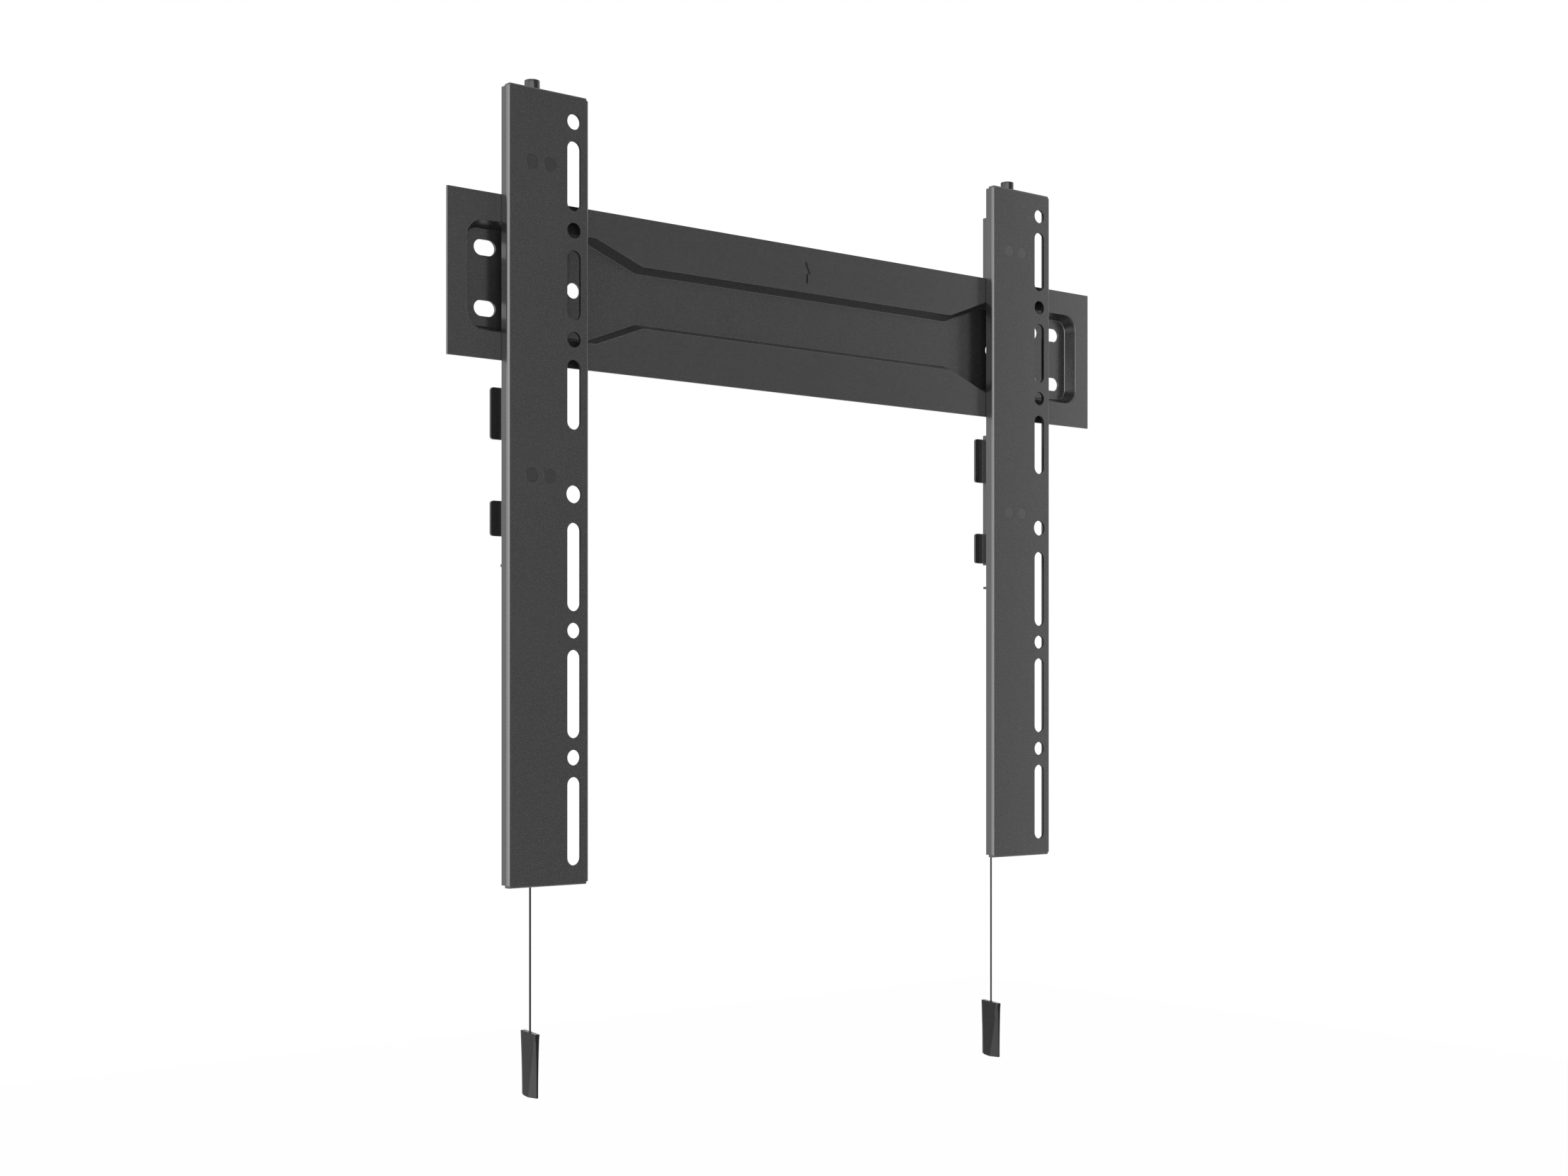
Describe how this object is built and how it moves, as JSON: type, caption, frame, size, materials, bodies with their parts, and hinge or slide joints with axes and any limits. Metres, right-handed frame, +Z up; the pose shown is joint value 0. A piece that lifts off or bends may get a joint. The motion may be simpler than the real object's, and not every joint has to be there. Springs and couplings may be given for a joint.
{
  "type": "fixed television wall bracket",
  "caption": "Slim fixed wall bracket: pressed wall plate with hook-on upright arms, level screws, spring latches and pull cords.",
  "frame": {"origin": "on the wall plane, in the middle of the wall plate", "axes": "+X along the wall plate to the right seen from the room, +Y into the wall, +Z up"},
  "size_m": [0.5132, 0.0164, 0.592],
  "materials": {
    "steel_plate": "fine black powder coat, half gloss",
    "steel_arm": "fine black powder coat, half gloss",
    "steel_inner": "black powder coat, half gloss",
    "zinc": "zinc plated, dull",
    "black_plastic": "smooth black",
    "handle_plastic": "polished black",
    "cord": "woven black nylon"
  },
  "bodies": {
    "wall": {"wall_plate": "steel_plate"},
    "left_hook": {"hook_bracket_left": "steel_inner", "hook_nut_left": "zinc"},
    "left_arm": {"arm_left": "steel_arm", "upper_rivets_left": "steel_arm", "latch_case_left": "steel_inner", "lower_rivets_left": "steel_arm", "latch_spring_left": "zinc"},
    "left_screw": {"level_screw_left": "zinc", "level_knob_left": "black_plastic", "retaining_ring_left": "zinc"},
    "left_latch": {"latch_slide_left": "steel_inner", "latch_rod_left": "zinc", "cord_bar_left": "steel_inner", "cord_crimp_left": "zinc", "pull_cord_left": "cord", "pull_handle_left": "handle_plastic"},
    "right_hook": {"hook_bracket_right": "steel_inner", "hook_nut_right": "zinc"},
    "right_arm": {"arm_right": "steel_arm", "upper_rivets_right": "steel_arm", "latch_case_right": "steel_inner", "lower_rivets_right": "steel_arm", "latch_spring_right": "zinc"},
    "right_screw": {"level_screw_right": "zinc", "level_knob_right": "black_plastic", "retaining_ring_right": "zinc"},
    "right_latch": {"latch_slide_right": "steel_inner", "latch_rod_right": "zinc", "cord_bar_right": "steel_inner", "cord_crimp_right": "zinc", "pull_cord_right": "cord", "pull_handle_right": "handle_plastic"}
  },
  "joints": [
    {"name": "left_place", "type": "slide", "parent": "wall", "child": "left_hook", "axis": [1, 0, 0], "range_m": [-0.03, 0.12]},
    {"name": "left_level", "type": "slide", "parent": "left_hook", "child": "left_arm", "axis": [0, 0, 1], "range_m": [-0.0024, 0.0024]},
    {"name": "left_knob_turn", "type": "hinge", "parent": "left_arm", "child": "left_screw", "pos_m": [-0.2013, -0.0087, 0.1085], "axis": [0, 0, 1], "range_deg": [-1081, 1081]},
    {"name": "left_latch_pull", "type": "slide", "parent": "left_arm", "child": "left_latch", "axis": [0, 0, -1], "range_m": [0, 0.008], "stiffness_N_per_m": 800, "springref_m": -0.006, "deforming": ["latch_spring_left"]},
    {"name": "right_place", "type": "slide", "parent": "wall", "child": "right_hook", "axis": [1, 0, 0], "range_m": [-0.12, 0.03]},
    {"name": "right_level", "type": "slide", "parent": "right_hook", "child": "right_arm", "axis": [0, 0, 1], "range_m": [-0.0024, 0.0024]},
    {"name": "right_knob_turn", "type": "hinge", "parent": "right_arm", "child": "right_screw", "pos_m": [0.1776, -0.0087, 0.1085], "axis": [0, 0, 1], "range_deg": [-1081, 1081]},
    {"name": "right_latch_pull", "type": "slide", "parent": "right_arm", "child": "right_latch", "axis": [0, 0, -1], "range_m": [0, 0.008], "stiffness_N_per_m": 800, "springref_m": -0.006, "deforming": ["latch_spring_right"]}
  ],
  "couplings": [
    {"joint": "left_knob_turn", "follows": "left_level", "rad_per_m": 7854},
    {"joint": "right_knob_turn", "follows": "right_level", "rad_per_m": 7854}
  ]
}
